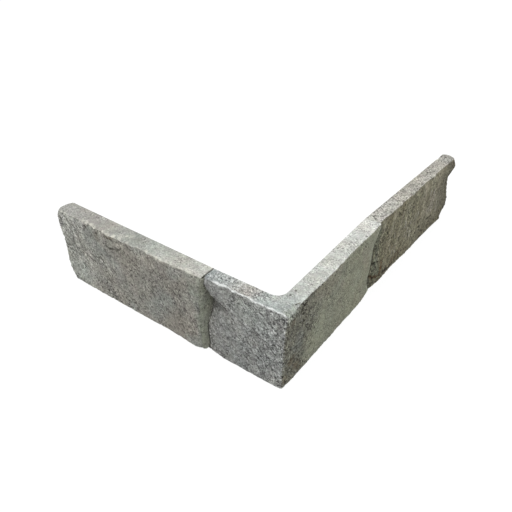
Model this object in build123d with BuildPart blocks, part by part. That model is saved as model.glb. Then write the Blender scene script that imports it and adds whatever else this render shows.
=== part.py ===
from build123d import *
import os

# Three strips of travertine bonded end to end round the outside corner of a wall, in millimetres.
# The origin is on the bed plane, where the backs of the corner stone's two legs meet.
# The short leg runs along -X and the long leg along +Y. +Z is up.

os.makedirs("parts", exist_ok=True)

# Height of the course
course_height = 100

# Corner stone: the legs are measured along the outer faces, from the outer arris
corner_thickness = 19
short_leg = 100
long_leg = 200
inside_radius = 12
outer_arris_wear = 1.6

# Straight stones, and the angle in degrees by which each turns off its leg of the corner
left_length = 225
left_thickness = 22
left_turn = 1.0
right_length = 231
right_thickness = 20
right_turn = 3.0

# Flake scar on the short leg: it runs from the joint under a ledge of stone
flake_reach = 28
ledge_height = 71
flake_depth = 15

# Bevel worn along the top and bed arrises of the split faces
arris_wear = 0.7

# A natural end reaches furthest at this share of the stone's thickness
end_crown = 0.45

# Rough stock behind the back and past the joint, which the saw takes off
saw_allowance = 6

left_joint = corner_thickness - short_leg
right_joint = long_leg - corner_thickness


def split_face(start, along, out, span, thickness, stations, waves, wear):
    """Plan points of a split face. A station is a share of the span, a wave stands off the thickness."""
    points = []
    for station, wave in zip(stations, waves):
        points.append(start + along * (station * span) + out * (thickness + wave - wear))
    return points


def rough_block(plan, rows):
    """A block lofted through evenly spaced plans, bed first, with worn bevels along bed and top arrises."""
    rise = (course_height - 2 * arris_wear) / (len(rows) - 1)
    heights = [arris_wear + rise * index for index in range(len(rows))]
    with BuildPart() as block:
        loft([plan(0, rows[0], arris_wear), plan(heights[0], rows[0], 0)], ruled=True)
        loft([plan(height, row, 0) for height, row in zip(heights, rows)])
        loft([plan(heights[-1], rows[-1], 0), plan(course_height, rows[-1], arris_wear)], ruled=True)
    return block.part


# Corner stone. Each row is one plan, bed first: the waves of the short leg from its joint, then those
# of the long leg from the outer arris. The short leg draws back at the joint, below the nose of stone.
short_stations = (0, 0.08, 0.20, 0.45, 0.72, 1)
long_stations = (0, 0.12, 0.35, 0.65, 0.90, 1)
corner_rows = (
    ((-3.8, -2.4, -0.8, -0.2, 0.2, -0.4), (-1.4, -0.4, 0.2, 0.9, 0.9, -1.4)),
    ((-4.4, -2.8, -0.8, 0.2, 0.4, -0.2), (-1.1, -0.2, 0.4, 0.9, 0.4, -4.4)),
    ((-6.6, -4.2, -1.2, 0.5, 0.4, -0.1), (-0.8, 0.0, 0.6, 0.9, 0.2, -3.2)),
    ((-12.0, -5.6, -1.2, 0.4, 0.6, 0.3), (-0.4, 0.2, 0.8, 0.9, 0.6, -3.2)),
    ((-6.4, -1.4, 0.4, 0.7, 0.5, 0.4), (0.8, 0.4, 1.1, 0.8, 1.6, -0.8)),
    ((-3.6, 0.6, 0.6, 1.2, 0.4, -0.2), (2.0, 1.0, 2.0, 1.4, 2.6, 1.6)),
)


def corner_plan(height, row, wear):
    """Outline of the corner stone's rough block at one height, before the inside is sawn out."""
    short_waves, long_waves = row
    short_points = split_face(
        Vector(left_joint, 0), Vector(1, 0), Vector(0, -1), short_leg, corner_thickness,
        short_stations, short_waves, wear,
    )
    long_points = split_face(
        Vector(0, -corner_thickness), Vector(0, 1), Vector(1, 0), long_leg, corner_thickness,
        long_stations, long_waves, wear,
    )
    arris = Vector(long_points[0].X, short_points[-1].Y)
    short_points[-1] = arris - Vector(outer_arris_wear, 0)
    long_points[0] = arris + Vector(0, outer_arris_wear)
    with BuildSketch(Plane.XY.offset(height)) as outline:
        with BuildLine():
            Spline(short_points)
            Line(short_points[-1], long_points[0])
            Spline(long_points)
            Polyline(
                long_points[-1], (-saw_allowance, right_joint), (left_joint, saw_allowance), short_points[0]
            )
        make_face()
    return outline.sketch


def flake():
    """The flake that is off the short leg: deepest at the joint below the ledge, it tapers to a point."""
    face = -corner_thickness
    front = face - saw_allowance
    root = (face + flake_depth, 0.95 * ledge_height)
    run_out = (face - 0.25 * flake_depth, 0)
    with BuildSketch(Plane.YZ.offset(left_joint)) as section:
        with BuildLine():
            Spline(
                root,
                (face + 0.9 * flake_depth, 0.77 * ledge_height),
                (face + 0.5 * flake_depth, 0.58 * ledge_height),
                run_out,
            )
            Polyline(run_out, (front, 0), (front, ledge_height), root)
        make_face()
    point = Vertex(left_joint + flake_reach, face - 1, ledge_height)
    with BuildPart() as chip:
        loft([section.sketch, point], ruled=True)
    return chip.part


with BuildPart() as corner_stone:
    add(rough_block(corner_plan, corner_rows))
    add(flake(), mode=Mode.SUBTRACT)
    with BuildSketch():
        Rectangle(2 * short_leg, 2 * long_leg, align=(Align.MAX, Align.MIN))
        fillet(vertices().sort_by_distance((0, 0))[0], inside_radius)
    extrude(amount=course_height, mode=Mode.SUBTRACT)


def strip_plan(place, side, thickness, stations, end_round):
    """Returns the plan of a strip along the plane's X axis, split in front, with a natural far end."""

    def plan(height, row, wear):
        reach, waves = row
        points = split_face(
            Vector(0, 0), Vector(1, 0), Vector(0, side), reach, thickness, stations, waves, wear
        )
        points.insert(0, Vector(-saw_allowance, points[0].Y))
        tip = Vector(reach - wear, side * end_crown * thickness)
        heel = Vector(reach - end_round, -side * saw_allowance)
        with BuildSketch(place.offset(height)) as outline:
            with BuildLine():
                Spline(points)
                ThreePointArc(points[-1], tip, heel)
                Polyline(heel, (-saw_allowance, -side * saw_allowance), points[0])
            make_face()
        return outline.sketch

    return plan


# Left stone. Each row is one plan: how far the end reaches from the joint, then the waves from the joint.
left_stations = (0, 0.06, 0.18, 0.38, 0.62, 0.82, 0.98)
left_rows = (
    (left_length - 6.0, (0.2, 0.4, -0.8, -0.8, -0.5, -0.3, -0.7)),
    (left_length + 0.8, (3.0, 2.6, 0.4, -0.2, -0.2, 0.0, 0.0)),
    (left_length + 1.0, (3.4, 3.2, 0.8, 0.4, 0.6, 0.4, 0.2)),
    (left_length + 1.2, (3.5, 3.2, 0.8, 0.8, 1.0, 0.8, 0.7)),
    (left_length + 3.0, (2.9, 2.7, 0.8, 1.1, 1.3, 1.2, 1.9)),
    (left_length + 0.0, (1.2, 2.4, 2.2, 1.8, 2.6, 1.4, 1.6)),
)
left_end_round = 9
left_place = Plane((left_joint, 0, 0), x_dir=Vector(-1, 0, 0).rotate(Axis.Z, -left_turn))

with BuildPart() as left_stone:
    left_plan = strip_plan(left_place, 1, left_thickness, left_stations, left_end_round)
    add(rough_block(left_plan, left_rows))
    split(bisect_by=Plane(left_place.origin, z_dir=left_place.y_dir), keep=Keep.TOP)
    split(bisect_by=Plane(left_place.origin, z_dir=(-1, 0, 0)), keep=Keep.TOP)

# Right stone, in the same way. It is thinner along the bed, and its end is hollow under the top.
right_stations = (0, 0.05, 0.25, 0.45, 0.65, 0.85, 0.98)
right_rows = (
    (right_length - 1.0, (-3.0, -1.8, -2.4, -2.1, -2.7, -2.6, -1.9)),
    (right_length + 0.1, (-6.0, -2.8, -1.6, -1.7, -2.0, -1.0, 0.1)),
    (right_length + 0.4, (-4.2, -2.8, -1.0, -1.4, -1.2, -0.6, 0.3)),
    (right_length - 1.5, (-4.6, -2.6, -0.8, -1.2, -0.8, -1.4, -2.8)),
    (right_length - 0.6, (-2.8, -1.4, -0.4, -0.6, 0.2, 0.6, -0.2)),
    (right_length - 0.4, (-0.6, 0.0, 0.4, 0.8, 0.6, 1.2, -0.2)),
)
right_end_round = 4
right_place = Plane((0, right_joint, 0), x_dir=Vector(0, 1, 0).rotate(Axis.Z, -right_turn))

with BuildPart() as right_stone:
    right_plan = strip_plan(right_place, -1, right_thickness, right_stations, right_end_round)
    add(rough_block(right_plan, right_rows))
    split(bisect_by=Plane(right_place.origin, z_dir=-right_place.y_dir), keep=Keep.TOP)
    split(bisect_by=Plane(right_place.origin, z_dir=(0, 1, 0)), keep=Keep.TOP)

stones = {"corner_stone": corner_stone, "left_stone": left_stone, "right_stone": right_stone}
for name, stone in stones.items():
    stone.part.label = name
    export_step(stone.part, f"parts/{name}.step")
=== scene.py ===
import math

import bmesh
import bpy
import numpy as np
from mathutils import Matrix, Vector, kdtree, noise


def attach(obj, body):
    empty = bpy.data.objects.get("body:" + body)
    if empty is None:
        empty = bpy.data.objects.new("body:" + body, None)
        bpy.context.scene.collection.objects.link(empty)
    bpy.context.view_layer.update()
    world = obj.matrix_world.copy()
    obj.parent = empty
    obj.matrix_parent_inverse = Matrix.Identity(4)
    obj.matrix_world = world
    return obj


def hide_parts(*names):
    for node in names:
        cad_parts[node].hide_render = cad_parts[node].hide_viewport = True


# Travertine cladding round the outside corner of a wall: a corner stone with a straight stone
# bonded to each leg. Meshes are in metres, in the part's own frame. Places, depths and radii that
# are given for a stone are in millimetres, and colours are in screen values.

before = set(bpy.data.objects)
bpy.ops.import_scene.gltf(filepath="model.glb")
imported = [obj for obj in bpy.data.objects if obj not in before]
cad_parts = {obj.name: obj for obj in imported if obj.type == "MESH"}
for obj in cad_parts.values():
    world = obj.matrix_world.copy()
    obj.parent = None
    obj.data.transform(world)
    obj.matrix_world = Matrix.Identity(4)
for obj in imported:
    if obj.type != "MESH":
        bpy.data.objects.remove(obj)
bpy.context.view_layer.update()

MM = 0.001
SHARP_ANGLE = math.radians(32)

# Halvings of a stone's box that give the cells of its skin
SKIN_DEPTH = 8

# How far each skin is sunk at least, so that none of it lies outside its solid
LEAST_SINK = 0.05

# Places of the joints along their legs, thicknesses of the stones, and the slope at which the right
# stone turns off its leg
LEFT_JOINT = -81
RIGHT_JOINT = 181
CORNER_THICKNESS = 19
LEFT_THICKNESS = 22
RIGHT_THICKNESS = 20
RIGHT_SLOPE = 0.0524

# Lower edge of the ledge over the corner stone's flake scar: places along the short leg and heights
LEDGE = (
    (LEFT_JOINT, 88), (-77.5, 85.5), (-73.7, 82), (-70, 79), (-67.2, 77.5), (-63.2, 75.7), (-59.1, 75.2),
    (-56.5, 74.2), (-51.4, 71.7),
)

# Directions in which the grain of each stone lies
CORNER_LIE = (0.64, 0, -0.77)
LEFT_LIE = (0.45, 0, -0.89)
RIGHT_LIE = (0, 0.2, 0.98)

# Colour of the painted shade in deep hollows, pits, grooves and open joints
HOLLOW_SHADE_COLOUR = (46, 43, 36)

# How far the floor reaches in metres, how brightly it shows, and how strongly the sky lights
FLOOR_REACH = 12
FLOOR_GLOW = 0.86
SKY_STRENGTH = 0.62

# The photograph's camera: the side of the picture and the focal length in pixels, the width of the
# sensor in millimetres, how far the view turns, dips and leans, and where the eye stands
PHOTO_SIDE = 512
FOCAL_LENGTH = 545
SENSOR_WIDTH = 36
YAW, PITCH, ROLL = (math.radians(angle) for angle in (34.72, 35.40, 0.85))
EYE = (0.20634, -0.34028, 0.43122)

# Sides of a stone, each with the two coordinates that give a place on it
TOP = ((0, 0, 1), (0, 1))
FRONT = ((0, -1, 0), (0, 2))
SIDE = ((1, 0, 0), (1, 2))


# Mesh

def even_mesh(node, name, fill):
    """A copy of a stone's solid as an even skin of small cells, on which relief can be carved."""
    piece = bpy.data.objects.new(name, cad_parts[node].data.copy())
    bpy.context.scene.collection.objects.link(piece)
    remesh = piece.modifiers.new("even skin", "REMESH")
    remesh.mode = "SHARP"
    remesh.octree_depth = SKIN_DEPTH
    remesh.scale = fill
    remesh.use_remove_disconnected = False
    graph = bpy.context.evaluated_depsgraph_get()
    skin = bpy.data.meshes.new_from_object(piece.evaluated_get(graph))
    piece.modifiers.clear()
    piece.data = skin
    skin.name = name
    return piece


def read(mesh, what):
    """The places or the normals of a mesh's vertices, a row for each."""
    values = np.empty(3 * len(mesh.vertices), np.float32)
    mesh.vertices.foreach_get(what, values)
    return values.reshape(-1, 3).astype(float)


def smooth(low, high, value):
    """Rises from 0 at low to 1 at high, with soft ends."""
    share = np.clip((value - low) / (high - low), 0, 1)
    return share * share * (3 - 2 * share)


def band(low, high, value, soft):
    """1 between low and high, falling off outside over the soft width."""
    return smooth(low - soft, low, value) * smooth(high + soft, high, value)


def linear(colour):
    """A colour written in screen values, 0 to 255."""
    value = np.asarray(colour, float) / 255
    return np.where(value <= 0.04045, value / 12.92, ((value + 0.055) / 1.055) ** 2.4)


def along(value, *stops):
    """A colour that changes along a stone. Each stop is a place and a colour."""
    places = [place for place, _ in stops]
    colours = linear([colour for _, colour in stops])
    return np.stack([np.interp(value, places, colours[:, channel]) for channel in range(3)], axis=1)


def lift(layer, weight):
    """Brings a layer up to the weight wherever it is lower."""
    np.maximum(layer, weight, out=layer)


def grain(points, size, octaves, seed):
    """Fractal noise about zero, whose largest lumps are of the given size."""
    shift = np.array((3.7 * seed, -5.3 * seed, 7.9 * seed))
    return np.array([noise.fractal(Vector(place), 1.0, 2.0, octaves) for place in points / size + shift])


def drawn_out(points, direction, stretch):
    """The points pressed together along a direction, so that grain on them comes out drawn along it."""
    direction = np.array(direction, float) / np.linalg.norm(direction)
    return points - np.outer(points @ direction, direction) * (1 - 1 / stretch)


class Skin:
    """The vertices of one stone, with how deep the surface is cut at each and what shows there."""

    def __init__(self, node, name, fill, rough_sides, seed):
        self.node = node
        self.seed = seed
        self.piece = even_mesh(node, name, fill)
        self.rough_sides = [np.array(side, float) for side in rough_sides]
        self.points = read(self.piece.data, "co")
        self.normals = read(self.piece.data, "normal")
        self.random = np.random.default_rng(seed)
        self.tree = kdtree.KDTree(len(self.points))
        for index, point in enumerate(self.points):
            self.tree.insert(point, index)
        self.tree.balance()

        # How far each vertex belongs to the split faces, the arris, the top and the other sides
        outward = np.max([self.normals @ side for side in self.rough_sides], axis=0)
        self.split = smooth(0.35, 0.8, outward)
        self.from_arris = self.arris_distance()
        self.arris = smooth(2.2 * MM, 0.4 * MM, self.from_arris)
        self.top = smooth(0.5, 0.9, self.normals[:, 2])
        self.front, self.side = self.facing(FRONT), self.facing(SIDE)
        self.place = (self.points / MM).T
        self.upper = smooth(92, 98, self.place[2])

        # The relief as it is built up, and the layers of colour; the hollow layer is painted shade in
        # pits, grooves and joints
        count = len(self.points)
        self.depth, self.ground, self.lumps, self.worn = (np.zeros(count) for _ in range(4))
        self.hollow, self.pale, self.stain = (np.zeros(count) for _ in range(3))
        self.grit, self.relief, self.gain = (np.ones(count) for _ in range(3))
        self.colour = np.ones((count, 3))

    def arris_distance(self):
        """Marks the sharp edges, and measures how far each vertex is from an arris of the split side."""
        mesh = self.piece.data
        work = bmesh.new()
        work.from_mesh(mesh)
        rough = set()
        for edge in work.edges:
            if edge.calc_face_angle(0) > SHARP_ANGLE:
                edge.smooth = False
                for face in edge.link_faces:
                    if max(np.dot(side, face.normal) for side in self.rough_sides) > 0.6:
                        rough.update(vertex.index for vertex in edge.verts)
        work.to_mesh(mesh)
        work.free()
        line = kdtree.KDTree(len(rough))
        for index in sorted(rough):
            line.insert(self.points[index], index)
        line.balance()
        return np.array([line.find(point)[2] for point in self.points])

    def facing(self, side):
        """1 where the skin faces a side, falling off as it turns away."""
        return smooth(0.4, 0.8, self.normals @ np.array(side[0], float))

    def on(self, side, first, second):
        """The point of one side at two of its coordinates, in millimetres."""
        direction, axes = side
        away = np.hypot(self.points[:, axes[0]] - first * MM, self.points[:, axes[1]] - second * MM)
        away[self.normals @ np.array(direction, float) < 0.5] = np.inf
        return Vector(self.points[np.argmin(away)])

    def dent(self, centre, radius, depth, dark=0.0):
        """A round hollow sunk into whatever surface lies within the radius, darkened by painted shade as
        dark says.
        """
        for _, index, distance in self.tree.find_range(centre, radius * MM):
            share = 1 - (distance / (radius * MM)) ** 2
            self.depth[index] = max(self.depth[index], self.ground[index] + depth * MM * share)
            self.hollow[index] = max(self.hollow[index], dark * min(1, 1.6 * share))

    def mark(self, layer, centre, radius, amount):
        """A soft patch on one of the layers of colour."""
        for _, index, distance in self.tree.find_range(centre, radius * MM):
            layer[index] = max(layer[index], amount * (1 - (distance / (radius * MM)) ** 2))

    def path(self, side, places, step):
        """Points along an uneven line drawn through places on one side, each with its strength there."""
        drift = np.zeros(2)
        for start, end in zip(places, places[1:]):
            steps = max(1, round(math.dist(start, end) / step))
            for count in range(steps + 1):
                share = count / steps
                drift = 0.7 * drift + self.random.normal(0, 0.3, 2)
                place = [a + (b - a) * share + d for a, b, d in zip(start, end, drift)]
                yield self.on(side, *place), self.random.uniform(0.5, 1.0)

    def groove(self, side, places, radius, depth, dark=0.0):
        """An uneven groove drawn through places on one side, darkened by painted shade as dark says."""
        for point, strength in self.path(side, places, 0.5 * radius):
            self.dent(point, radius * (0.5 + 0.5 * strength), depth * strength, dark * strength)

    def streak(self, layer, side, places, radius, amount):
        """An uneven line of colour drawn through places on one side."""
        for point, strength in self.path(side, places, 0.5 * radius):
            self.mark(layer, point, radius, amount * strength)

    def paint(self, weight, colour):
        """Lays a colour over the stone where the weight is high."""
        self.colour += np.asarray(weight, float)[:, None] * (colour - self.colour)

    def roughen(self, lump, lump_depth, crumb, crumb_depth, sawn_depth, lie, stretch):
        """Gives the split side its lumps, creases and crumbs, and the sawn sides a light texture."""
        self.lumps = grain(self.points, lump * MM, 3, self.seed)
        creases = 1 - np.abs(grain(self.points, 0.6 * lump * MM, 2, self.seed + 1)).clip(0, 0.4) / 0.4
        crumbs = grain(drawn_out(self.points, lie, stretch), crumb * MM, 2, self.seed + 2)
        relief = lump_depth * (0.9 - self.lumps).clip(0) + 0.5 * lump_depth * creases ** 2
        relief += crumb_depth * (0.8 - crumbs).clip(0)
        self.depth += self.relief * self.split * (relief - 0.4).clip(0) * MM
        self.depth += (1 - self.split) * sawn_depth * (0.8 - crumbs).clip(0) * MM
        self.ground = self.depth.copy()

    def comb(self, weight, lie, stretch, size, depth):
        """Fine ridges that lie along a direction, with painted shade in the furrows and a painted
        highlight on the crests.
        """
        ridges = grain(drawn_out(self.points, lie, stretch), size * MM, 2, self.seed + 5)
        furrow = smooth(0.05, -0.45, ridges) * weight
        self.depth += furrow * depth * MM
        self.ground = self.depth.copy()
        # Painted shade in the furrows and a painted highlight on the crests
        lift(self.hollow, 0.28 * furrow)
        lift(self.pale, 0.5 * weight * smooth(0.1, 0.45, ridges))

    def set_back(self, inward, run, across, profile):
        """Draws the top arris in where stone has broken away.

        The profile gives places along the stone and how far to draw it in there, in millimetres.
        Across is 0 at the back of the stone and 1 at the arris.
        """
        places, amounts = zip(*profile)
        amount = np.interp(self.points[:, run] / MM, places, amounts)
        share = smooth(84 * MM, 99 * MM, self.points[:, 2]) * np.clip(across, 0, 1)
        self.points += (amount * share)[:, None] * np.array(inward) * MM

    def wear(self, weight, size, depth):
        """Nibbles an arris back unevenly, by up to the depth."""
        ragged = grain(self.points, size * MM, 3, self.seed + 3)
        self.depth += weight * self.arris * depth * MM * (ragged + 0.3).clip(0, 1)
        self.ground = self.depth.copy()
        self.worn = weight * self.arris * smooth(0.0, 0.5, ragged)

    def chamfer(self, weight, width, depth):
        """Takes the sharpness off an arris over a width, in millimetres."""
        self.depth += weight * smooth(width * MM, 0, self.from_arris) * depth * MM
        self.ground = self.depth.copy()

    def pits(self, weight, count, radii, depth, dark):
        """Small pits strewn where the weight is high, darkened by painted shade as dark says."""
        for index in self.random.choice(len(self.points), count, p=weight / weight.sum()):
            radius = self.random.uniform(*radii)
            darkness = dark * self.random.uniform(0.5, 1)
            self.dent(self.points[index], radius, depth * radius / radii[1], darkness)

    def splinters(self, side, count, first, second, length, amount):
        """Short raised splinters that lean down to the right: a painted highlight along the crest, and a
        groove with painted shade beside it.
        """
        for _ in range(count):
            start = np.array([self.random.uniform(*first), self.random.uniform(*second)])
            lean = self.random.uniform(math.radians(30), math.radians(62))
            downhill = np.array([math.cos(lean), -math.sin(lean)])
            reach = start + self.random.uniform(0.4, 1) * length * downhill
            self.streak(self.pale, side, (start, reach), 1.1, amount)
            self.groove(side, (start - 1.3, reach - 1.3), 1.1, 0.6, 0.75)

    def flecks(self, weight, count, radii, amount):
        """Small bright crystals strewn where the weight is high."""
        for index in self.random.choice(len(self.points), count, p=weight / weight.sum()):
            radius = self.random.uniform(*radii)
            self.mark(self.pale, self.points[index], radius, amount * self.random.uniform(0.4, 1))

    def finish(self, slot, material):
        """Sinks the skin by its depth, stores the colour layers and hands the stone over."""
        self.points -= self.normals * (LEAST_SINK * MM + self.depth)[:, None]
        mesh = self.piece.data
        mesh.vertices.foreach_set("co", self.points.astype(np.float32).ravel())
        layers = {"grit": self.grit, "hollow": self.hollow, "pale": self.pale, "stain": self.stain}
        for name, values in layers.items():
            layer = mesh.attributes.new(name, "FLOAT", "POINT")
            layer.data.foreach_set("value", values.astype(np.float32))
        tint = np.ones((len(self.points), 4), np.float32)
        tint[:, :3] = self.colour * self.gain[:, None]
        layer = mesh.attributes.new("tint", "FLOAT_COLOR", "POINT")
        layer.data.foreach_set("color", tint.ravel())
        mesh.polygons.foreach_set("use_smooth", [True] * len(mesh.polygons))
        mesh.materials.clear()
        mesh.materials.append(material)
        mesh.update()
        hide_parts(self.node)
        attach(self.piece, "root")
        print(self.piece.name, sum(len(face.vertices) - 2 for face in mesh.polygons), "triangles")


# Materials

class Graph:
    """The node tree of a material or of the sky."""

    def __init__(self, material):
        material.use_nodes = True
        self.tree = material.node_tree
        self.tree.nodes.clear()

    def add(self, kind, settings=None, **inputs):
        """A new node with its settings and its inputs, which are values or sockets."""
        made = self.tree.nodes.new(kind)
        for key, value in (settings or {}).items():
            setattr(made, key, value)
        for key, value in inputs.items():
            self.feed(made.inputs[key.replace("_", " ")], value)
        return made

    def feed(self, socket, value):
        """Links a socket, or sets a plain value."""
        if isinstance(value, bpy.types.NodeSocket):
            self.tree.links.new(value, socket)
        else:
            socket.default_value = value

    def math(self, operation, first, second, clamp=False):
        """One operation on two values or sockets."""
        made = self.add("ShaderNodeMath", {"operation": operation, "use_clamp": clamp})
        self.feed(made.inputs[0], first)
        self.feed(made.inputs[1], second)
        return made.outputs[0]

    def layer(self, name, output="Fac"):
        """A layer that the skin carries."""
        return self.add("ShaderNodeAttribute", {"attribute_name": name}).outputs[output]

    def noise(self, place, scale, detail, roughness=0.55):
        return self.add(
            "ShaderNodeTexNoise", Vector=place, Scale=scale, Detail=detail, Roughness=roughness
        ).outputs["Fac"]

    def ramp(self, factor, stops):
        """A colour that changes with the factor. Each stop is a position and a colour."""
        made = self.add("ShaderNodeValToRGB", Fac=factor)
        ramp = made.color_ramp
        while len(ramp.elements) < len(stops):
            ramp.elements.new(0.5)
        for element, (position, colour) in zip(ramp.elements, stops):
            element.position = position
            element.color = colour
        return made.outputs["Color"]

    def mix(self, factor, first, second, blend="MIX"):
        made = self.add("ShaderNodeMix", {"data_type": "RGBA", "blend_type": blend})
        self.feed(made.inputs["Factor"], factor)
        self.feed(made.inputs["A"], first)
        self.feed(made.inputs["B"], second)
        return made.outputs["Result"]

    def range(self, value, low, high, new_low=0.0, new_high=1.0):
        """Maps low to high onto the new range, and holds it there."""
        made = self.add("ShaderNodeMapRange", {"clamp": True}, Value=value)
        made.inputs["From Min"].default_value = low
        made.inputs["From Max"].default_value = high
        made.inputs["To Min"].default_value = new_low
        made.inputs["To Max"].default_value = new_high
        return made.outputs["Result"]

    def grey(self, value):
        """A colour with the value in all three channels."""
        return self.add("ShaderNodeCombineColor", Red=value, Green=value, Blue=value).outputs["Color"]


def opaque(colour):
    """A screen colour as a shader takes it."""
    return (*linear(colour), 1.0)


def swing(g, value, amount, onto):
    """Adds a noise, swung about its middle, onto a tone."""
    return g.math("ADD", g.math("MULTIPLY", g.math("SUBTRACT", value, 0.5), amount), onto)


def stone_tone(g, place, fine, strokes, crystal, mottle, grit):
    """How bright the stone is, about 1: grains and specks as strong as the grit, and soft blotches."""
    tone = swing(g, fine, 3.0, 0.0)
    tone = swing(g, strokes, 1.7, tone)
    tone = swing(g, crystal, 0.6, tone)
    tone = swing(g, mottle, 0.7, tone)
    tone = g.math("MULTIPLY", tone, grit)
    tone = swing(g, mottle, 0.35, tone)
    tone = swing(g, g.noise(place, 24, 3), 0.5, tone)
    speck = g.range(g.noise(place, 760, 1), 0.42, 0.32)
    dark_speck = g.math("MULTIPLY", speck, g.math("MULTIPLY", grit, -0.5))
    light_speck = g.math("MULTIPLY", g.range(strokes, 0.60, 0.72), g.math("MULTIPLY", grit, 0.7))
    tone = g.math("ADD", g.math("ADD", tone, 1.0), g.math("ADD", dark_speck, light_speck))
    return g.math("MAXIMUM", tone, 0.25)


def stone_colour(g, place, tone, pale, stain):
    """The painted tint at this tone, cast warm and cool, with its pale and rusty places and painted shade
    in its hollows.
    """
    colour = g.mix(1.0, g.layer("tint", "Color"), g.grey(tone), "MULTIPLY")
    cool_to_warm = [(0.35, (0.975, 0.992, 1.0, 1)), (0.65, (1.0, 0.985, 0.962, 1))]
    colour = g.mix(1.0, colour, g.ramp(g.noise(place, 40, 2), cool_to_warm), "MULTIPLY")
    pink_to_green = [(0.35, (1.0, 0.975, 0.99, 1)), (0.65, (0.98, 1.0, 0.975, 1))]
    colour = g.mix(1.0, colour, g.ramp(g.noise(place, 210, 1), pink_to_green), "MULTIPLY")
    broken = g.range(g.noise(place, 330, 2, 0.7), 0.36, 0.60)
    fresh = g.math("MULTIPLY", g.layer("pale"), g.range(broken, 0, 1, 0.45, 1), True)
    colour = g.mix(fresh, colour, opaque(pale))
    rust = g.math("MULTIPLY", g.layer("stain"), g.range(broken, 0, 1, 0.2, 1), True)
    colour = g.mix(rust, colour, opaque(stain))
    # Painted shade from the hollow layer, in pits, grooves and joints
    return g.mix(g.layer("hollow"), colour, opaque(HOLLOW_SHADE_COLOUR))


def stone_material(name, pale, stain, offset, scale, lie, stretch):
    """Stone in the painted tint, mottled and speckled as strongly as the grit layer says.

    The finest strokes are drawn out along the lie, which is an upright turned by these angles.
    """
    material = bpy.data.materials.new(name)
    g = Graph(material)
    coordinates = g.add("ShaderNodeTexCoord").outputs["Object"]
    even = g.add("ShaderNodeMapping", Vector=coordinates)
    even.inputs["Location"].default_value = offset
    even.inputs["Scale"].default_value = scale
    place = even.outputs[0]
    drawn = g.add("ShaderNodeMapping", {"vector_type": "TEXTURE"}, Vector=coordinates)
    drawn.inputs["Rotation"].default_value = [math.radians(angle) for angle in lie]
    drawn.inputs["Scale"].default_value = (1, 1, stretch)

    strokes = g.noise(drawn.outputs[0], 560, 2, 0.65)
    mottle = g.noise(place, 105, 3, 0.6)
    fine = g.noise(place, 700, 2, 0.75)
    cells = g.add("ShaderNodeTexVoronoi", Vector=place, Scale=680).outputs["Color"]
    crystal = g.add("ShaderNodeSeparateColor", Color=cells).outputs["Red"]
    patchy = g.range(g.noise(place, 60, 2), 0.36, 0.64, 0.65, 1.35)
    grit = g.math("MULTIPLY", g.layer("grit"), patchy)
    tone = stone_tone(g, place, fine, strokes, crystal, mottle, grit)
    colour = stone_colour(g, place, tone, pale, stain)

    height = g.math("ADD", g.math("MULTIPLY", fine, 0.8), g.math("MULTIPLY", crystal, 0.25))
    height = g.math("MULTIPLY", height, grit)
    bump = g.add("ShaderNodeBump", Height=height, Strength=0.8, Distance=0.8 * MM)
    shader = g.add("ShaderNodeBsdfPrincipled", Base_Color=colour, Normal=bump.outputs["Normal"])
    g.feed(shader.inputs["Roughness"], g.range(mottle, 0.3, 0.7, 0.82, 0.96))
    shader.inputs["Specular IOR Level"].default_value = 0.25
    out = g.add("ShaderNodeOutputMaterial")
    g.feed(out.inputs["Surface"], shader.outputs["BSDF"])
    return material


# Corner stone

def ledge_edge(skin):
    """Height of the ledge's lower edge at each place along the short leg."""
    return np.interp(skin.place[0], *zip(*LEDGE))


def spalled(skin):
    """Where the top has broken away at the outer corner."""
    x, y, z = skin.place
    across = smooth(5, -3, y + 6 * skin.lumps) * smooth(-19.5, -16, y)
    return across * smooth(88, 97, z) * smooth(8, 14, x)


def break_corner(skin):
    """Splits both legs, cuts the scar in under the ledge and breaks the arrises."""
    x, y, z = skin.place
    side, upper = skin.side, skin.upper
    ledge = band(LEFT_JOINT, -54, x, 4) * band(68, 75, z, 5) * skin.split
    skin.relief = (1 - 0.75 * ledge) * (1 - 0.55 * side * smooth(20, 55, y))
    skin.roughen(
        lump=11, lump_depth=0.45, crumb=2.2, crumb_depth=0.75, sawn_depth=0.15,
        lie=CORNER_LIE, stretch=1.7,
    )
    brow = ledge_edge(skin)
    under = smooth(-50, -54, x) * smooth(brow + 0.8, brow - 0.8, z) * smooth(60, 66, z)
    scar = np.interp(x, (LEFT_JOINT, -66, -52), (-5.5, -13, -19.3))
    skin.points[:, 1] += 0.93 * under * (scar - y).clip(0) * MM
    skin.wear(0.3 + 0.7 * upper + 0.6 * side * upper, 6, 1.2)
    skin.chamfer(spalled(skin), 6.5, 2.2)
    skin.set_back((0, 1, 0), 0, -y / CORNER_THICKNESS, (
        (-76, 0), (-68, 2.5), (-62, 1.5), (-56, 3.0), (-50, 3.0), (-46, 1.4), (-40, 2.0), (-35, 1.8),
        (-27, 2.6), (-22, 0.8), (-16, 0), (-8, 1.2), (-4, 0), (8, 0.2), (14, 0.6),
    ))


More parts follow.
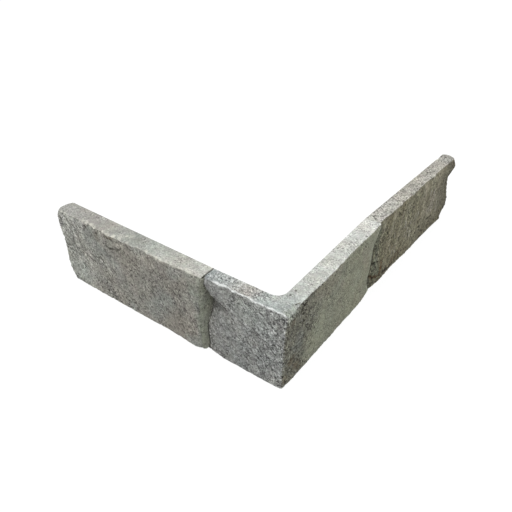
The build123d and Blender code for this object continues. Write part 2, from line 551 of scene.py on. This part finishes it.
def tint_corner(skin, drift, patch):
    """Paints the sawn sides, the top, the short leg's face and the long leg's face."""
    x, y, z = skin.place
    front, side = skin.front, skin.side
    wander = 9 * skin.lumps
    skin.paint(np.ones_like(x), linear((180, 182, 176)))
    skin.paint(skin.top, along(
        y + wander, (-16, (174, 180, 177)), (20, (202, 204, 198)), (90, (205, 206, 199)),
        (160, (218, 218, 212)),
    ))
    skin.paint(skin.top * smooth(-8, -24, x + wander), along(
        x, (-80, (156, 160, 159)), (-58, (174, 177, 174)), (-30, (180, 177, 172)), (-8, (174, 179, 176)),
    ))
    skin.paint(front, along(x, (-80, (141, 140, 137)), (-50, (146, 147, 144)), (20, (149, 150, 147))))
    skin.paint(side, along(
        y + drift, (-15, (130, 129, 117)), (16, (130, 129, 117)), (34, (139, 139, 125)),
        (54, (146, 147, 131)), (170, (158, 159, 139)),
    ))
    pale_patch = side * band(40, 56, y + drift, 14) * band(14, 46, z + drift, 16)
    skin.paint(0.4 * pale_patch, linear((164, 168, 147)))
    brown_patch = side * band(38, 78, y + drift, 14) * smooth(62, 84, z + drift)
    skin.paint(0.35 * brown_patch, linear((146, 138, 124)))
    skin.paint(0.7 * patch, linear((131, 133, 126)))
    warm = smooth(0.1, 0.5, grain(skin.points, 30 * MM, 2, 32)) * smooth(60, 90, y)
    skin.paint(0.5 * side * warm, linear((156, 150, 136)))
    fresh = side * smooth(6, -2, y + 0.6 * wander) * smooth(86, 97, z + 0.6 * wander)
    fresh = np.maximum(fresh, spalled(skin) * smooth(7.5 * MM, 4.5 * MM, skin.from_arris))
    skin.paint(0.8 * fresh, linear((170, 174, 163)))
    skin.paint(0.5 * front * band(-36, -8, x, 8) * band(72, 90, z, 8), linear((155, 160, 155)))


def strew_corner(skin, drift, patch):
    """Sets how gritty the corner stone is, and strews its pits, darkened with painted shade, and bright
    crystals.
    """
    x, y, z = skin.place
    front, side = skin.front, skin.side
    near = smooth(50, 14, y + drift)
    skin.grit = 0.55 + 0.4 * skin.top * smooth(5, -25, x) + 0.1 * skin.top * smooth(-40, -60, x)
    skin.grit += front * (0.3 + 0.5 * smooth(-50, 10, x)) + side * (0.5 * near + 0.15)
    skin.grit += 0.25 * side * (1 - near) * smooth(130, 60, y) * smooth(35, 70, z + drift)
    skin.grit -= 0.5 * patch
    skin.pits(front * smooth(-0.4, 0.5, skin.lumps), 500, (0.7, 1.4), 0.7, 0.45)
    skin.pits(side * near * smooth(-0.4, 0.4, skin.lumps), 260, (0.8, 1.9), 0.9, 0.85)
    skin.pits(side, 160, (0.7, 1.3), 0.4, 0.3)
    skin.pits(skin.top, 130, (0.7, 1.2), 0.4, 0.45)
    skin.flecks(front, 520, (0.7, 1.4), 0.5)
    skin.flecks(side * near, 120, (0.7, 1.3), 0.4)
    skin.flecks(skin.top * smooth(-35, -60, x), 60, (0.8, 1.6), 0.9)


def chip_corner(skin):
    """The spall, the notch and the chips along the long leg, and single holes and bright spots."""
    for place, radius, depth in (
        (-13, 6, 3.0), (-5, 8, 3.6), (2, 7, 3.2), (46, 4, 1.2), (62, 5, 1.4), (84, 4, 1.1),
    ):
        skin.dent(skin.on(SIDE, place, 99), radius, depth)
    # The notch and single holes on the long leg, darkened with painted shade
    for place, height, radius, depth, dark in (
        (9, 84.5, 1.8, 1.2, 0.9), (10, 87, 2.2, 1.4, 1.0), (11, 90, 2.4, 1.8, 1.0),
        (12.5, 91, 2.6, 1.8, 1.0), (15, 91.5, 2.6, 1.8, 1.0), (18, 92, 2.2, 1.4, 1.0),
        (38, 98.5, 2.0, 1.2, 0.85), (5.7, 73, 2.4, 0.9, 0.45), (13, 71, 2.2, 0.9, 0.45),
        (25, 51, 2.4, 0.9, 0.5), (33, 55, 2.6, 0.9, 0.4), (39, 51, 2.0, 0.8, 0.45),
        (32, 63, 2.0, 0.8, 0.5), (22, 33, 2.4, 0.9, 0.45), (-5, 34, 2.0, 0.9, 0.5),
        (-17, 17, 2.4, 1.4, 0.95), (9, 11, 2.2, 0.9, 0.6), (21, 9, 2.0, 0.9, 0.6),
    ):
        skin.dent(skin.on(SIDE, place, height), radius, depth, dark)
    skin.groove(SIDE, ((19, 96.5), (26, 96), (36, 97)), 1.2, 0.5, 0.5)
    # Single holes in the top, darkened with painted shade
    for place in ((4.7, 18.4), (4.5, 9.8), (18.3, 147)):
        skin.dent(skin.on(TOP, *place), 1.4, 0.8, 0.85)
    for place, radius in (((-54, -6), 2.0), ((-42, -13), 1.6), ((-62, -4), 1.4), ((-19, -15), 1.5)):
        skin.mark(skin.pale, skin.on(TOP, *place), radius, 1.0)


def shade_corner(skin):
    """Painted shade: the shadow under the ledge, the dark line along it, and the joint's dark line."""
    x, _, z = skin.place
    brow = ledge_edge(skin)
    foot = np.interp(x, (LEFT_JOINT, -70, -60, -51), (53, 60, 66, 70))
    shadow = smooth(-49, -53, x) * smooth(foot - 3, foot + 3, z) * smooth(brow + 1, brow, z)
    lift(skin.hollow, 0.42 * shadow * skin.split)
    # Painted shade along the ledge's lower edge
    line = smooth(1.9, 0.7, np.abs(z - brow - 0.7)) * band(-71, -52, x, 2) * skin.split
    lift(skin.hollow, 0.7 * line)
    # Painted shade in the joint between the corner stone and the left stone
    seam_shade = skin.split * smooth(-78.9, -80.2, x) + 0.8 * skin.top * smooth(-80, -80.8, x)
    lift(skin.hollow, 0.95 * np.minimum(seam_shade, 1))


def mark_corner(skin):
    """Dents darkened with painted shade, pale streaks and splinters on the short leg, and stains near the
    bed.
    """
    for place in (
        (17.5, 84), (9, 81.5), (-23, 53.5), (19.5, 66), (-7.5, 57), (2, 49), (-34, 34.5), (-49.5, 47),
        (-15, 21.5), (8.5, 63.5), (-65, 62),
    ):
        skin.dent(skin.on(FRONT, *place), 1.6, 0.9, 0.6)
    for places in (
        ((-53, 79), (-38, 70.5), (-22, 62)), ((-39, 78), (-35, 74)), ((-44, 69), (-38, 63)),
        ((-13, 88), (-8, 83)), ((-9, 92), (-5, 88)), ((-24, 76), (-17, 71)), ((-37, 59), (-29, 52)),
        ((-15, 66), (-8, 60)), ((2, 56), (8, 49)),
    ):
        skin.streak(skin.pale, FRONT, places, 1.2, 0.4)
    skin.splinters(FRONT, 44, (-46, 12), (8, 84), 5, 0.42)
    for place, height, radius, amount in (
        (-4, 30, 9, 0.5), (6, 16, 9, 0.6), (-14, 12, 6, 0.6), (-6, 84, 7, 0.35), (12, 8, 7, 0.5),
    ):
        skin.mark(skin.stain, skin.on(SIDE, place, height), radius, amount)


def edge_corner(skin):
    """The pale lines along the arrises, worn stone with a painted highlight, and painted shade along the
    foot of the short leg.
    """
    x, y, z = skin.place
    width = 1.35 + 1.8 * grain(skin.points, 9 * MM, 2, 33)
    edge = smooth((width + 0.8) * MM, (width - 0.4) * MM, skin.from_arris)
    on_short_leg = smooth(-74, -68, x) * smooth(22, 17, x) * smooth(-13, -15.5, y)
    lift(skin.pale, edge * on_short_leg * smooth(97.4, 98.8, z))
    lift(skin.pale, 0.3 * skin.arris * smooth(174, 179, y) * smooth(12, 15, x))
    lift(skin.pale, 0.35 * skin.arris * skin.upper * smooth(30, 40, y) * smooth(120, 90, y))
    outer = skin.arris * smooth(14, 17, x) * smooth(-12, -16, y) * (1 - skin.upper)
    skin.flecks(outer, 60, (0.8, 1.6), 0.5)
    # Painted shade along the foot of the short leg
    skin.gain *= 1 - 0.10 * skin.front * smooth(8, 0, z)


def carve_corner():
    """The corner stone, split on the outside of both legs."""
    skin = Skin("corner_stone", "corner_stone_carved", 0.9, [(1, 0, 0), (0, -1, 0)], seed=11)
    _, y, z = skin.place
    break_corner(skin)
    drift = 14 * grain(skin.points, 38 * MM, 3, 31)
    from_patch = np.hypot(y - 6, 0.7 * (z - 50)) + 5 * grain(skin.points, 12 * MM, 2, 34)
    patch = skin.side * smooth(13, 6, from_patch)
    tint_corner(skin, drift, patch)
    strew_corner(skin, drift, patch)
    chip_corner(skin)
    shade_corner(skin)
    mark_corner(skin)
    edge_corner(skin)
    return skin


# Left stone

def break_left(skin):
    """Splits the left stone's face and far end, eases it at the joint and breaks its top arris."""
    x, y, _ = skin.place
    front, upper = skin.front, skin.upper
    skin.relief = 1 - 0.35 * front * smooth(-240, -180, x)
    skin.roughen(
        lump=12, lump_depth=0.45, crumb=2.4, crumb_depth=0.7, sawn_depth=0.08,
        lie=LEFT_LIE, stretch=1.6,
    )
    skin.wear((0.3 + 0.7 * upper) * (1 - 0.7 * smooth(-278, -292, x)), 6, 2.3)
    turning = smooth(-96, -82, x) * smooth(-17, -20, y)
    skin.chamfer(turning, 4.5, 1.3)
    skin.chamfer(upper * front * band(-284, -268, x, 8), 4, 0.8)
    skin.set_back((0, 1, 0), 0, -y / LEFT_THICKNESS, (
        (-290, 0), (-262, 1.5), (-252, 1.0), (-246, 2.2), (-240, 0.3), (-230, 1.8), (-222, 0.4),
        (-214, 0.2), (-206, 1.2), (-197, 0.5), (-187, 1.4), (-178, 0.4), (-170, 2.6), (-164, 2.8),
        (-159, 1.8), (-155, 0.3), (-149, 1.4), (-137, 0.3), (-129, 1.2), (-120, 1.4), (-113, 2.3),
        (-104, 3.6), (-98, 2.3), (-92, 3.2), (-86, 2.6),
    ))


def tint_left(skin, end):
    """Paints the sawn sides, the top, the split face from the far end to the joint, and the joint."""
    x, _, z = skin.place
    front, joint, upper = skin.front, skin.side, skin.upper
    wander = 10 * skin.lumps
    skin.paint(np.ones_like(x), linear((176, 174, 167)))
    skin.paint(skin.top, along(
        x + wander, (-300, (171, 170, 164)), (-250, (174, 170, 163)), (-190, (165, 167, 161)),
        (-150, (181, 183, 175)), (-100, (199, 198, 190)),
    ))
    skin.paint(skin.split, along(
        x + wander, (-290, (187, 187, 181)), (-262, (172, 170, 163)), (-240, (158, 156, 149)),
        (-190, (150, 147, 139)), (-100, (146, 142, 134)),
    ))
    end_foot = skin.split * smooth(-250, -275, x) * smooth(52, 30, z + wander)
    skin.paint(0.7 * end_foot, linear((165, 168, 160)))
    by_joint = smooth(-106, -94, x + 0.5 * wander) * smooth(55, 80, z + wander)
    skin.paint(0.8 * front * by_joint, linear((147, 149, 140)))
    skin.paint(0.6 * front * band(-256, -236, x, 6) * band(84, 97, z, 6), linear((135, 128, 118)))
    margin = smooth(-91, -82, x + 4 * grain(skin.points, 9 * MM, 2, 42)) * (1 - skin.top)
    skin.paint(joint, linear((159, 161, 147)))
    skin.paint(joint * smooth(4.5 * MM, 1 * MM, skin.from_arris) * (1 - upper), linear((136, 138, 126)))
    skin.paint(0.7 * front * margin * (1 - joint), linear((134, 137, 126)))
    skin.paint(0.7 * skin.split * end * smooth(66, 92, z + wander), linear((178, 178, 171)))
    lift(skin.pale, 0.55 * skin.worn * upper)


def strew_left(skin, end):
    """Combs the far end, sets how gritty the stone is, and strews its pits, darkened with painted shade,
    and bright crystals.
    """
    x, _, z = skin.place
    front, joint = skin.front, skin.side
    skin.comb(skin.split * end * smooth(20, 45, z), LEFT_LIE, stretch=5, size=4, depth=0.7)
    cool = smooth(0.0, 0.45, grain(skin.points, 45 * MM, 2, 41))
    skin.paint(0.7 * front * cool, linear((148, 150, 144)))
    skin.grit = 0.5 + skin.split * (0.25 + 0.25 * end) + 0.05 * joint
    skin.pits(front * smooth(-0.4, 0.5, skin.lumps), 520, (0.7, 1.6), 0.6, 0.5)
    skin.pits(skin.split * end, 200, (0.8, 1.8), 0.8, 0.6)
    skin.pits(front * band(-245, -190, x, 10) * smooth(24, 6, z), 60, (0.9, 1.8), 0.9, 0.8)
    skin.flecks(front, 260, (0.7, 1.5), 0.35)
    skin.flecks(skin.split * end, 160, (0.8, 1.7), 0.45)


def ridge_left(skin):
    """Ridges combed down the far end, with painted shade in their grooves, and splinters that thin out
    towards the joint.
    """
    for places in (
        ((-292, 97), (-287, 91), (-281, 84)), ((-300, 70), (-291, 64), (-281, 59)),
        ((-270, 56), (-258, 50), (-247, 48)), ((-252, 20), (-247, 15)), ((-301, 93), (-300, 82)),
        ((-289, 78), (-284, 66)), ((-277, 82), (-271, 74)),
    ):
        skin.groove(FRONT, places, 1.3, 0.9, 0.7)
    for places in (
        ((-291, 99), (-285, 94), (-279, 88)), ((-282, 66), (-273, 57), (-265, 49)),
        ((-270, 95), (-262, 97)), ((-296, 80), (-290, 70)), ((-215, 68), (-214, 58), (-215, 51)),
        ((-226, 50), (-221, 43)), ((-276, 74), (-268, 66)), ((-259, 58), (-252, 52)),
        ((-262, 44), (-255, 37)), ((-236, 30), (-229, 24)),
    ):
        skin.streak(skin.pale, FRONT, places, 1.6, 0.6)
    skin.splinters(FRONT, 46, (-303, -262), (24, 96), 9, 0.6)
    skin.splinters(FRONT, 26, (-275, -225), (22, 70), 8, 0.5)
    skin.splinters(FRONT, 40, (-225, -95), (8, 88), 6, 0.28)


def flake_left(skin):
    """A shelled flake below the top arris, hairlines, and the rubbed foot of the stone at the joint."""
    x, y, z = skin.place
    for place, height, radius in ((-217, 90, 8), (-208, 90, 9), (-199, 94, 7)):
        skin.dent(skin.on(FRONT, place, height), radius, 1.3)
    shell = ((-222, 81.6), (-217, 80.4), (-210.6, 80.6), (-203, 84), (-196, 88.3))
    # Painted shade in the groove under the flake's rim and along the hairlines
    skin.groove(FRONT, shell, 1.4, 1.0, 0.8)
    skin.groove(FRONT, ((-186, 91.2), (-171, 97)), 1.2, 0.8, 0.65)
    # Painted highlight on the flake's lower part, and painted shade in a groove across it
    skin.streak(skin.pale, FRONT, ((-214, 84.5), (-206, 86), (-199, 90)), 2.0, 0.3)
    skin.streak(skin.pale, FRONT, ((-213, 87.5), (-208, 86.5), (-203, 88)), 1.2, 0.45)
    skin.groove(FRONT, ((-216, 88), (-210, 84.5), (-203, 86)), 1.1, 0.6, 0.45)
    skin.streak(skin.stain, FRONT, ((-220, 94), (-210, 96)), 3.5, 0.5)
    corner = smooth(12, 0, np.hypot(np.hypot(x - LEFT_JOINT, y + 24), z))
    skin.points += corner[:, None] * np.array((-0.8, 0.8, 0.7)) * MM


def chip_left(skin):
    """Chips off the top arris, how pale they are on top, and painted shade under them and in a groove on
    top.
    """
    for place, radius, depth in (
        (-297, 5.0, 1.8), (-284, 4.0, 1.3), (-262, 4.0, 1.3), (-254, 5.5, 2.2), (-242, 6.0, 2.4),
        (-232, 5.0, 1.6), (-214, 5.5, 1.8), (-207, 5.0, 1.6), (-194, 5.0, 1.5), (-179, 4.5, 1.4),
        (-165, 5.0, 1.6), (-156, 4.5, 1.4), (-141, 4.0, 1.1), (-124, 4.0, 1.0), (-101, 4.0, 1.0),
        (-89, 3.5, 0.9),
    ):
        skin.dent(skin.on(FRONT, place, 99.5), radius, depth)
    for place, depth, radius, amount in (
        (-298, -18.5, 3.0, 0.8), (-291, -17.5, 2.0, 0.5), (-261, -18, 4.0, 0.8), (-255, -17, 3.5, 0.8),
        (-246, -19, 4.0, 0.95), (-241, -19.5, 3.5, 0.9), (-225, -21, 3.6, 1.0), (-216, -22, 4.5, 1.0),
        (-209, -20.5, 4.5, 1.0), (-199, -20, 3.5, 0.9), (-196, -10.5, 2.8, 1.0), (-200, -14, 6.0, 0.5),
        (-191, -7, 5.0, 0.4), (-187, -20.5, 3.0, 0.7), (-159, -21, 3.4, 0.8), (-143, -22.5, 3.4, 1.0),
        (-137, -22.5, 3.4, 0.9), (-129, -23, 3.0, 0.7), (-104, -22, 2.5, 0.8), (-98, -23, 2.5, 0.7),
    ):
        skin.mark(skin.pale, skin.on(TOP, place, depth), radius, amount)
    for place, height in ((-256, 94), (-236, 93), (-218, 94), (-212, 94), (-168, 95), (-186, 95)):
        skin.dent(skin.on(FRONT, place, height), 2.6, 0.8, 0.6)
    skin.groove(TOP, ((-163, -4), (-156, -6)), 1.3, 0.3, 0.3)


def edge_left(skin):
    """The joint's dark line on top, which is painted shade, and the pale line along the top arris, worn
    stone with a painted highlight.
    """
    x, y, z = skin.place
    lift(skin.hollow, 0.95 * smooth(97.6, 98.6, z) * smooth(-82.7, -81.6, x))
    lift(skin.pale, 0.35 * skin.arris * skin.upper * smooth(-15, -18, y))


def carve_left():
    """The left stone, split in front and at its far end."""
    skin = Skin("left_stone", "left_stone_carved", 0.99, [(-1, 0, 0), (0, -1, 0)], seed=12)
    end = smooth(-258, -284, skin.place[0])
    break_left(skin)
    tint_left(skin, end)
    strew_left(skin, end)
    ridge_left(skin)
    flake_left(skin)
    chip_left(skin)
    edge_left(skin)
    return skin


# Right stone

def break_right(skin):
    """Splits the right stone's face and far end, and breaks its top arris."""
    x, y, _ = skin.place
    skin.roughen(
        lump=12, lump_depth=0.55, crumb=2.6, crumb_depth=0.7, sawn_depth=0.2,
        lie=RIGHT_LIE, stretch=2.2,
    )
    skin.wear(0.3 + 0.7 * skin.upper, 6, 1.4)
    from_back = x - RIGHT_SLOPE * (y - RIGHT_JOINT)
    skin.set_back((-1, 0.05, 0), 1, from_back / RIGHT_THICKNESS, (
        (183, 0.5), (196, 1.8), (205, 1.0), (230, 1.0), (237, 0), (244, 2.0), (254, 1.2), (265, 1.1),
        (272, 0.3), (278, 1.8), (287, 1.2), (295, 2.2), (305, 2.0), (313, 3.2), (326, 1.2), (337, 0),
        (342, 2.2), (385, 2.4), (400, 1),
    ))


def joint_recess(skin):
    """The rough recess in the face beside the joint, below the top."""
    _, y, z = skin.place
    reach = np.interp(z, (5, 45, 90), (208, 194, 190))
    return skin.split * smooth(reach + 3, reach - 3, y + 4 * skin.lumps) * smooth(96, 84, z)


def tint_right(skin, recess):
    """Paints the sawn sides, the top, the split face, its recess and its streaks."""
    _, y, z = skin.place
    side = skin.side
    wander = 8 * skin.lumps
    skin.paint(np.ones_like(y), linear((180, 175, 166)))
    skin.paint(skin.top, along(
        y + wander, (181, (201, 199, 192)), (215, (190, 188, 180)), (270, (177, 173, 163)),
        (390, (177, 174, 166)),
    ))
    skin.paint(skin.split, along(
        y, (190, (128, 125, 105)), (225, (137, 133, 112)), (300, (143, 139, 119)), (350, (139, 135, 117)),
        (372, (128, 124, 108)), (412, (108, 104, 89)),
    ))
    skin.paint(recess, linear((117, 119, 103)))
    skin.paint(0.3 * side * smooth(380, 405, y) * smooth(80, 100, z), linear((122, 110, 90)))
    streaks = grain(drawn_out(skin.points, RIGHT_LIE, 5), 8 * MM, 3, 51)
    streaks *= 1 - 0.4 * smooth(340, 375, y)
    skin.paint(0.5 * side * smooth(0.05, 0.45, streaks), linear((164, 158, 140)))
    skin.paint(0.5 * side * smooth(-0.05, -0.45, streaks), linear((112, 106, 86)))
    skin.paint(0.4 * side * smooth(26, 14, z + wander) * smooth(280, 320, y), linear((118, 112, 92)))
    greyer = smooth(20, 8, np.hypot(y - 347, z - 50) + wander)
    skin.paint(0.5 * side * greyer, linear((158, 151, 140)))


def strew_right(skin, recess):
    """Sets how gritty the right stone is, and strews its pits, darkened with painted shade, and bright
    crystals.
    """
    _, y, z = skin.place
    side = skin.side
    skin.grit = 0.65 + 0.35 * skin.top + side * (0.4 - 0.3 * smooth(250, 380, y)) - 0.15 * recess
    skin.pits(side * smooth(-0.4, 0.5, skin.lumps), 520, (0.7, 1.6), 0.7, 0.5)
    skin.pits(side * smooth(40, 10, z), 120, (0.9, 2.0), 1.0, 0.7)
    skin.pits(recess, 70, (0.9, 1.9), 1.1, 0.7)
    skin.pits(skin.top, 170, (0.8, 1.5), 0.6, 0.65)
    skin.flecks(side, 200, (0.8, 1.6), 0.25)
    skin.flecks(skin.top, 120, (0.8, 1.8), 0.5)


def spot_right(skin):
    """The joint's dark line, a hole beside it and single holes in the top, all darkened with painted
    shade, and bright spots in the top.
    """
    _, y, z = skin.place
    lift(skin.hollow, 0.8 * smooth(183.9, 182.3, y) * smooth(95, 90, z) * skin.split)
    skin.dent(skin.on(SIDE, 184, 97), 2.6, 1.0, 0.8)
    for place in ((6, 191), (3.6, 230.4), (9.6, 228.7), (10.8, 391.2), (18.9, 401.3), (11, 187)):
        skin.dent(skin.on(TOP, *place), 1.7, 1.0, 0.85)
    for place, radius in (
        ((8.6, 234.1), 3.5), ((16.5, 252.3), 3.5), ((20, 320), 4.5), ((12, 240), 2.5), ((18, 305), 3.0),
    ):
        skin.mark(skin.pale, skin.on(TOP, *place), radius, 0.75)


def crack_right(skin):
    """Pits in the rough recess at the joint, blackened with painted shade, and the rusty crack below
    them, whose grooves carry painted shade.
    """
    for place, radius in (
        ((183.5, 37), 3.2), ((189.5, 35.5), 3.2), ((183.4, 48), 2.2), ((183.4, 58), 2.4),
        ((185.6, 64.5), 1.8), ((196.4, 35.4), 1.6), ((194, 27.4), 1.6), ((183, 17), 3.0),
        ((192, 48), 1.5), ((190, 12.5), 2.2),
    ):
        skin.dent(skin.on(SIDE, *place), radius, 1.8, 1.0)
    skin.streak(skin.stain, SIDE, ((183, 18), (191, 13.2), (196, 12.4), (204, 12.8)), 3.4, 1.4)
    skin.streak(skin.stain, SIDE, ((206, 34), (206, 24), (204, 15)), 2.8, 1.4)
    skin.groove(SIDE, ((214, 9.5), (221, 9), (229, 5), (239, 4.5)), 3.0, 1.6, 1.0)
    skin.groove(SIDE, ((184, 17.5), (190, 14)), 1.3, 0.8, 0.8)
    skin.groove(SIDE, ((196, 12), (203, 12.5)), 1.2, 0.8, 0.7)
    skin.streak(skin.stain, SIDE, ((206, 32), (206.5, 26), (205, 21), (203, 13)), 2.4, 0.95)


def dash_right(skin):
    """Short furrows over the face, darkened with painted shade, and stains near the bed."""
    for places, radius, dark in (
        (((212, 11), (220, 10), (229, 6), (237, 4.7), (246, 4)), 2.8, 1.0),
        (((256, 9), (266, 10)), 1.8, 0.7), (((200, 68), (202, 62)), 1.4, 0.6),
        (((224, 50), (226, 46)), 1.6, 0.7), (((249, 43), (251, 38)), 1.6, 0.7),
        (((244, 90), (246, 86)), 1.6, 0.7), (((234, 88), (235, 84)), 1.5, 0.7),
        (((264, 78), (266, 73)), 1.6, 0.7), (((248, 75), (250, 71)), 1.6, 0.7),
        (((279, 37), (281, 33)), 1.7, 0.7), (((224, 77), (226, 73)), 1.5, 0.6),
        (((280, 49), (282, 45)), 1.5, 0.6), (((316, 28), (321, 26)), 2.4, 0.9),
        (((335, 11), (341, 10)), 2.2, 0.8), (((310, 22), (314, 19)), 1.6, 0.7),
        (((342, 28.5), (350, 27.5), (358, 28.5)), 2.3, 1.0), (((364, 10), (369, 8)), 1.6, 0.6),
        (((335, 28), (332.5, 21)), 2.0, 0.9), (((309, 41), (311, 39)), 2.2, 0.8),
        (((318, 27), (320, 25)), 2.4, 1.0), (((315, 42), (317, 40)), 1.8, 0.7),
        (((292, 32), (295, 30)), 2.0, 0.8), (((306, 23), (310, 21.5)), 2.0, 0.8),
        (((330, 15), (333, 13)), 2.2, 0.9), (((207, 74), (210, 70)), 2.0, 0.8),
        (((222, 62), (224, 57)), 1.8, 0.7), (((240, 85), (243, 81)), 2.0, 0.8),
        (((254, 74), (257, 70)), 1.8, 0.7), (((248, 46), (251, 42)), 2.0, 0.7),
        (((371, 96), (376, 60)), 1.6, 0.4), (((392, 80), (398, 45)), 1.8, 0.5),
        (((356, 70), (352, 48)), 1.5, 0.35),
    ):
        skin.groove(SIDE, places, radius, 1.1, dark)
    for place, height, radius, amount in (
        (200, 6, 8, 0.5), (222, 8, 9, 0.55), (242, 10, 10, 0.5), (258, 14, 10, 0.45), (404, 94, 7, 0.25),
        (280, 12, 8, 0.35),
    ):
        skin.mark(skin.stain, skin.on(SIDE, place, height), radius, amount)


def mark_right(skin):
    """Chips out of the top arris with painted shade in them, pale streaks and spots, and the hollow at
    the far end.
    """
    skin.dent(skin.on(SIDE, 331, 97), 4.0, 1.6, 0.4)
    skin.dent(skin.on(SIDE, 341, 94), 3.5, 1.4, 0.4)
    for places in (
        ((350, 74), (351, 64)), ((367, 52), (369, 42)), ((370, 38), (372, 30)), ((262, 64), (263, 54)),
        ((285, 38), (287, 28)), ((335, 78), (336, 70)), ((304, 60), (305, 52)), ((233, 60), (234, 52)),
    ):
        skin.streak(skin.pale, SIDE, places, 1.5, 0.5)
    for places in (
        ((264, 62), (267, 52)), ((275, 48), (277, 40)), ((268, 43), (270, 36)), ((281, 56), (283, 48)),
        ((224, 46), (227, 36)), ((245, 27), (248, 20)), ((295, 58), (297, 52)), ((232, 34), (235, 27)),
    ):
        skin.streak(skin.pale, SIDE, places, 2.0, 0.4)
    for place, radius in (
        ((23.5, 241), 3.0), ((20.5, 260), 3.0), ((24, 325), 3.0), ((24.5, 338), 2.6), ((24, 311), 2.6),
    ):
        skin.mark(skin.pale, skin.on(TOP, *place), radius, 0.8)
    skin.dent(skin.on(SIDE, 410, 70), 11, 1.2)
    lift(skin.pale, 0.3 * skin.arris * skin.upper * skin.split)
    lift(skin.pale, 0.6 * skin.arris * skin.upper * band(296, 322, skin.place[1], 4))


def carve_right():
    """The right stone, split on its outer side and at its far end."""
    skin = Skin("right_stone", "right_stone_carved", 0.99, [(1, 0, 0), (0, 1, 0)], seed=13)
    break_right(skin)
    recess = joint_recess(skin)
    tint_right(skin, recess)
    strew_right(skin, recess)
    spot_right(skin)
    crack_right(skin)
    dash_right(skin)
    mark_right(skin)
    return skin


# The stones, each in its own material

corner_material = stone_material(
    "travertine_corner", pale=(247, 249, 246), stain=(104, 82, 52),
    offset=(0, 0, 0), scale=(1, 1, 1), lie=(0, -40, 0), stretch=2.4,
)
left_material = stone_material(
    "travertine_left", pale=(228, 226, 212), stain=(112, 92, 62),
    offset=(1, 0, 0), scale=(0.85, 0.85, 0.8), lie=(0, -27, 0), stretch=2.5,
)
right_material = stone_material(
    "travertine_right", pale=(226, 222, 212), stain=(94, 70, 42),
    offset=(0, 1, 0), scale=(0.8, 0.8, 0.6), lie=(-12, 0, 0), stretch=2.2,
)

carve_corner().finish("travertine_corner", corner_material)
carve_left().finish("travertine_left", left_material)
carve_right().finish("travertine_right", right_material)


# Stage

def seen(g):
    """1 for the rays that show the stage itself, and 0 for those that light the stones."""
    path = g.add("ShaderNodeLightPath")
    direct = g.math("MAXIMUM", path.outputs["Is Camera Ray"], path.outputs["Is Glossy Ray"])
    return g.math("MAXIMUM", direct, path.outputs["Is Transmission Ray"])


def show(g, lit, shown, output):
    """Ends a tree in an output, with one shader for light and another for what is seen."""
    choice = g.add("ShaderNodeMixShader")
    g.feed(choice.inputs[0], seen(g))
    g.feed(choice.inputs[1], lit.outputs[0])
    g.feed(choice.inputs[2], shown.outputs[0])
    out = g.add(output)
    g.feed(out.inputs["Surface"], choice.outputs[0])


def floor():
    """A pale floor that keeps a faint shadow."""
    reach = FLOOR_REACH
    mesh = bpy.data.meshes.new("floor")
    corners = [(-reach, -reach, 0), (reach, -reach, 0), (reach, reach, 0), (-reach, reach, 0)]
    mesh.from_pydata(corners, [], [(0, 1, 2, 3)])
    ground = bpy.data.objects.new("floor", mesh)
    bpy.context.scene.collection.objects.link(ground)
    material = bpy.data.materials.new("floor")
    mesh.materials.append(material)
    g = Graph(material)
    matt = g.add("ShaderNodeBsdfDiffuse", Color=(0.5, 0.5, 0.5, 1))
    faint = g.add("ShaderNodeBsdfDiffuse", Color=(0.2, 0.2, 0.2, 1))
    glow = g.add("ShaderNodeEmission", Color=(1, 1, 1, 1), Strength=FLOOR_GLOW)
    both = g.add("ShaderNodeAddShader")
    g.feed(both.inputs[0], faint.outputs[0])
    g.feed(both.inputs[1], glow.outputs[0])
    show(g, matt, both, "ShaderNodeOutputMaterial")


def sky():
    """An even white sky, a little cool where it lights the stones."""
    world = bpy.data.worlds.new("studio")
    bpy.context.scene.world = world
    g = Graph(world)
    light = g.add("ShaderNodeBackground", Color=(0.97, 0.985, 1.0, 1), Strength=SKY_STRENGTH)
    white = g.add("ShaderNodeBackground", Color=(1, 1, 1, 1), Strength=1.0)
    show(g, light, white, "ShaderNodeOutputWorld")


def lamp(direction, strength, angle, colour):
    """A broad soft light that comes from the given direction."""
    light = bpy.data.lights.new("key", "SUN")
    light.energy = strength
    light.angle = math.radians(angle)
    light.color = colour
    key = bpy.data.objects.new("key", light)
    key.rotation_euler = Vector(direction).to_track_quat("Z", "Y").to_euler()
    bpy.context.scene.collection.objects.link(key)


def photo_camera():
    """The photograph's view."""
    level = Vector((math.cos(YAW), math.sin(YAW), 0))
    ahead = math.cos(PITCH)
    forward = Vector((-math.sin(YAW) * ahead, math.cos(YAW) * ahead, -math.sin(PITCH)))
    upright = level.cross(forward)
    right = math.cos(ROLL) * level + math.sin(ROLL) * upright
    up = math.cos(ROLL) * upright - math.sin(ROLL) * level
    camera = bpy.data.cameras.new("camera")
    camera.sensor_width = SENSOR_WIDTH
    camera.lens = SENSOR_WIDTH * FOCAL_LENGTH / PHOTO_SIDE
    camera.clip_start = 0.02
    eye = bpy.data.objects.new("camera", camera)
    turn = Matrix((right, up, -forward)).transposed().to_4x4()
    eye.matrix_world = Matrix.Translation(EYE) @ turn
    bpy.context.scene.collection.objects.link(eye)
    bpy.context.scene.camera = eye


floor()
sky()
lamp(direction=(0.15, -0.5, 0.86), strength=1.5, angle=50, colour=(1, 1, 1))
photo_camera()
bpy.context.scene.view_settings.view_transform = "Standard"
